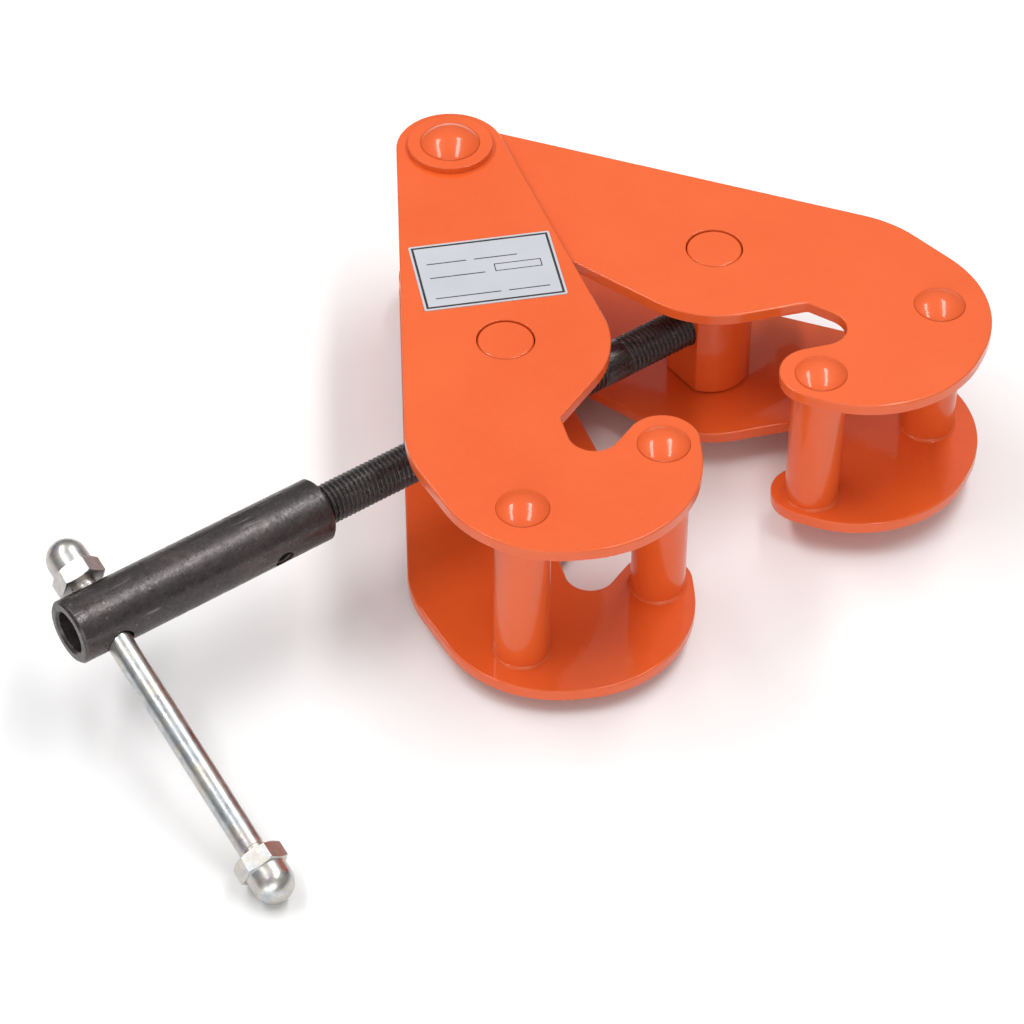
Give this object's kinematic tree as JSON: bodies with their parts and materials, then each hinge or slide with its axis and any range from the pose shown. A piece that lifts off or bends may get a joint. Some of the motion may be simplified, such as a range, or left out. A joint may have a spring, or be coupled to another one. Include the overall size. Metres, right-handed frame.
{
  "type": "beam clamp",
  "caption": "Screw-operated beam clamp: two jaws of paired plates hinge on a load pin and are drawn together by a spindle with opposite threads, turned by a sliding tommy bar.",
  "frame": {"origin": "middle of the load pin, on its axis and half way through the stack of plates", "axes": "+Z along the load pin, square to the plates; the jaws reach towards -Y; the spindle lies along X with its handle at -X"},
  "size_m": [0.369, 0.2489, 0.093],
  "materials": {
    "orange_paint": "glossy powder coat",
    "blackened_steel": "black oxide, satin",
    "zinc_plate": "bright zinc plate",
    "label_film": "satin film"
  },
  "bodies": {
    "outer_jaw": {"outer_jaw_upper_plate": "orange_paint", "outer_jaw_lower_plate": "orange_paint", "outer_jaw_tip_post": "orange_paint", "outer_jaw_heel_post": "orange_paint", "load_pin": "orange_paint", "upper_pin_washer": "orange_paint", "lower_pin_washer": "orange_paint", "rating_label": "label_film"},
    "inner_jaw": {"inner_jaw_upper_plate": "orange_paint", "inner_jaw_lower_plate": "orange_paint", "inner_jaw_tip_post": "orange_paint", "inner_jaw_heel_post": "orange_paint"},
    "outer_nut": {"outer_trunnion_nut": "orange_paint"},
    "inner_nut": {"inner_trunnion_nut": "orange_paint"},
    "spindle_carriage": {"spindle_stop_washer": "blackened_steel"},
    "spindle_and_sleeve": {"spindle": "blackened_steel", "spindle_circlip": "blackened_steel", "handle_sleeve": "blackened_steel", "sleeve_roll_pin": "blackened_steel"},
    "handle_bar": {"tommy_bar": "zinc_plate", "tommy_near_dome_nut": "zinc_plate", "tommy_far_dome_nut": "zinc_plate"}
  },
  "joints": [
    {"name": "spindle_turn", "type": "hinge", "parent": "spindle_carriage", "child": "spindle_and_sleeve", "pos_m": [0, -0.10596, 0], "axis": [1, 0, 0], "range_deg": [-2160, 5400]},
    {"name": "jaw_hinge", "type": "hinge", "parent": "outer_jaw", "child": "inner_jaw", "pos_m": [0, 0, 0], "axis": [0, 0, 1], "range_deg": [-14.41, 36.01]},
    {"name": "outer_nut_swivel", "type": "hinge", "parent": "outer_jaw", "child": "outer_nut", "pos_m": [-0.05054, -0.10596, 0], "axis": [0, 0, 1], "range_deg": [-7.21, 18.01]},
    {"name": "inner_nut_swivel", "type": "hinge", "parent": "inner_jaw", "child": "inner_nut", "pos_m": [0.05054, -0.10596, 0], "axis": [0, 0, 1], "range_deg": [-18.01, 7.21]},
    {"name": "spindle_slide", "type": "slide", "parent": "outer_nut", "child": "spindle_carriage", "axis": [1, 0, 0], "range_m": [-0.01201, 0.03001]},
    {"name": "tommy_bar_slide", "type": "slide", "parent": "spindle_and_sleeve", "child": "handle_bar", "axis": [-0.0314, -0.9467, -0.3205], "range_m": [-0.0943, 0.0013]}
  ],
  "couplings": [
    {"joint": "jaw_hinge", "follows": "spindle_turn", "ratio": 0.0066667},
    {"joint": "outer_nut_swivel", "follows": "spindle_turn", "ratio": 0.0033333},
    {"joint": "inner_nut_swivel", "follows": "spindle_turn", "ratio": -0.0033333},
    {"joint": "spindle_slide", "follows": "spindle_turn", "m_per_rad": 0.00031831}
  ]
}
